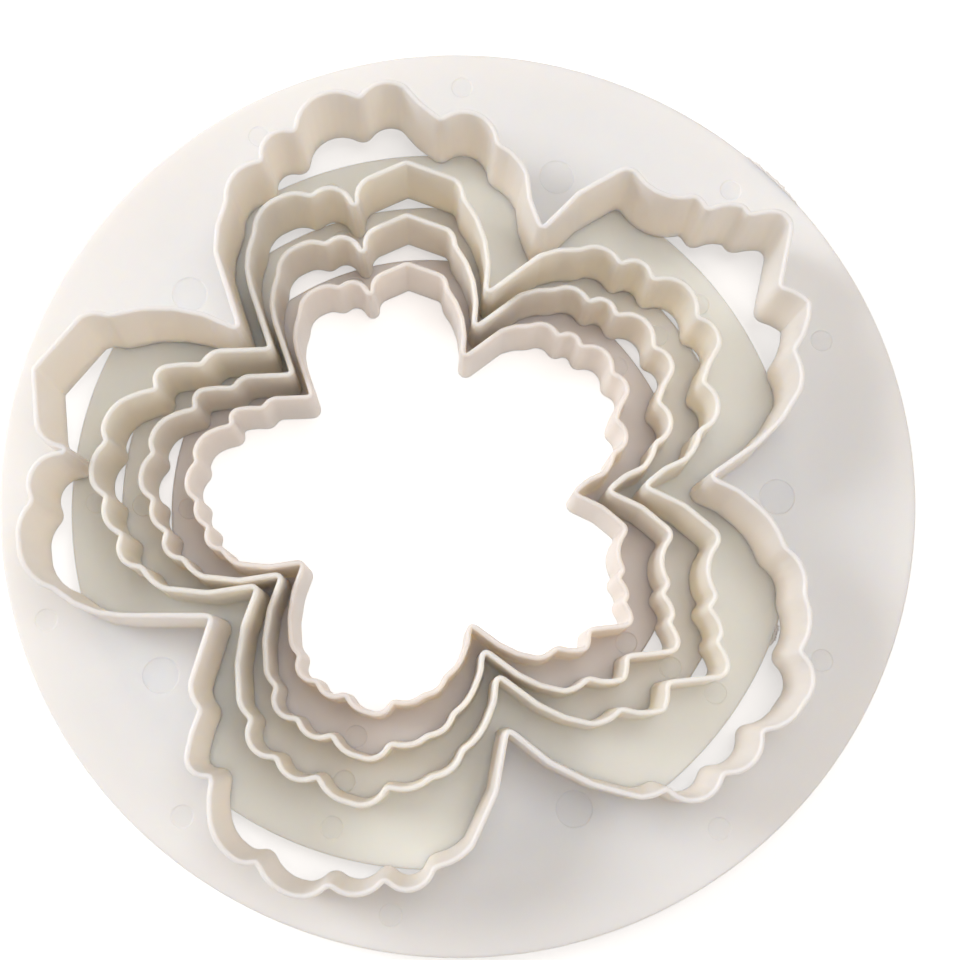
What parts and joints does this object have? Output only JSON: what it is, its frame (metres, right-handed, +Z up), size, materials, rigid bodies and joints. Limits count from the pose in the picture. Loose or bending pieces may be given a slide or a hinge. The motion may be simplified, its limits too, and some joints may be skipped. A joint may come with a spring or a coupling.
{
  "type": "flower cutter set",
  "caption": "Nested set of ruffled five-petal flower cutters, each a round flange with a thin cutting wall round a flower-shaped opening.",
  "frame": {"origin": "centre of the extra large flange, at the underside of the small flange that the set stands on", "axes": "+Z up, out of the flanges towards the cutting edges, +Y towards the top petal of the three smaller cutters, +X to the right as the set is seen from above"},
  "size_m": [0.16, 0.16, 0.023],
  "materials": {
    "white_plastic": "satin moulded, warm white",
    "ivory_plastic": "satin moulded, ivory",
    "cream_plastic": "satin moulded, cream",
    "blush_plastic": "satin moulded, pinkish cream"
  },
  "bodies": {
    "small": {"small_cutter": "blush_plastic"},
    "medium": {"medium_cutter": "cream_plastic"},
    "large": {"large_cutter": "ivory_plastic"},
    "extra_large": {"extra_large_cutter": "white_plastic"}
  },
  "joints": [
    {"name": "medium_lift", "type": "slide", "parent": "small", "child": "medium", "axis": [0, 0, 1], "range_m": [0, 0.03]},
    {"name": "large_lift", "type": "slide", "parent": "medium", "child": "large", "axis": [0, 0, 1], "range_m": [0, 0.03]},
    {"name": "extra_large_lift", "type": "slide", "parent": "large", "child": "extra_large", "axis": [0, 0, 1], "range_m": [0, 0.03]}
  ]
}
